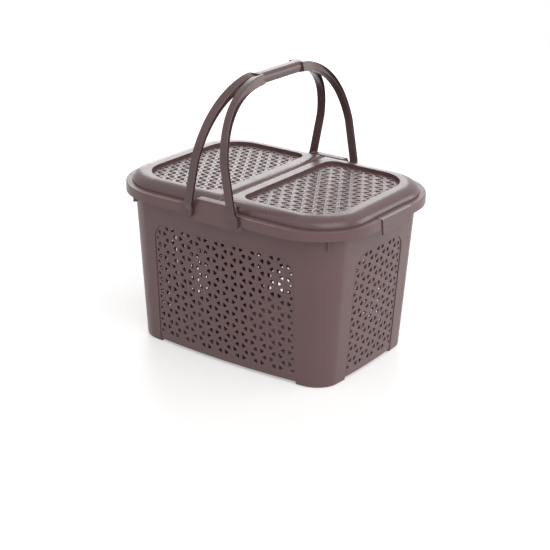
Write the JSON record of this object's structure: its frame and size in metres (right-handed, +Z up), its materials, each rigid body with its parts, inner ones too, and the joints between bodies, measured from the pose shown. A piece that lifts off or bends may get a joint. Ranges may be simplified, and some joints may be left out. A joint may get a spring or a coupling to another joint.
{
  "type": "picnic basket",
  "caption": "Rounded rectangular moulded picnic basket with a skirted rim, woven-pattern lids hinged at the middle and swing handles that meet above them.",
  "frame": {"origin": "on the ground under the centre of the basket", "axes": "+Z up, +X along the length towards the lid that faces the viewer's right, Y across between the two long sides"},
  "size_m": [0.403, 0.3054, 0.4054],
  "materials": {
    "tub_plastic": "satin moulded polypropylene, grey-brown",
    "lid_plastic": "satin moulded polypropylene, grey-brown",
    "handle_plastic": "satin moulded polypropylene, dark grey-brown"
  },
  "bodies": {
    "tub": {"tub": "tub_plastic"},
    "right_lid": {"right_lid": "lid_plastic"},
    "left_lid": {"left_lid": "lid_plastic"},
    "right_handle": {"right_handle": "handle_plastic"},
    "left_handle": {"left_handle": "handle_plastic"}
  },
  "joints": [
    {"name": "right_handle_swing", "type": "hinge", "parent": "tub", "child": "right_handle", "pos_m": [0.039, 0, 0.2245], "axis": [0, 1, 0], "range_deg": [0, 130]},
    {"name": "left_handle_swing", "type": "hinge", "parent": "tub", "child": "left_handle", "pos_m": [-0.039, 0, 0.2245], "axis": [0, -1, 0], "range_deg": [0, 130]},
    {"name": "right_lid_hinge", "type": "hinge", "parent": "tub", "child": "right_lid", "pos_m": [0.0087, 0, 0.2413], "axis": [0, -1, 0], "range_deg": [0, 78]},
    {"name": "left_lid_hinge", "type": "hinge", "parent": "tub", "child": "left_lid", "pos_m": [-0.0087, 0, 0.2413], "axis": [0, 1, 0], "range_deg": [0, 78]}
  ]
}
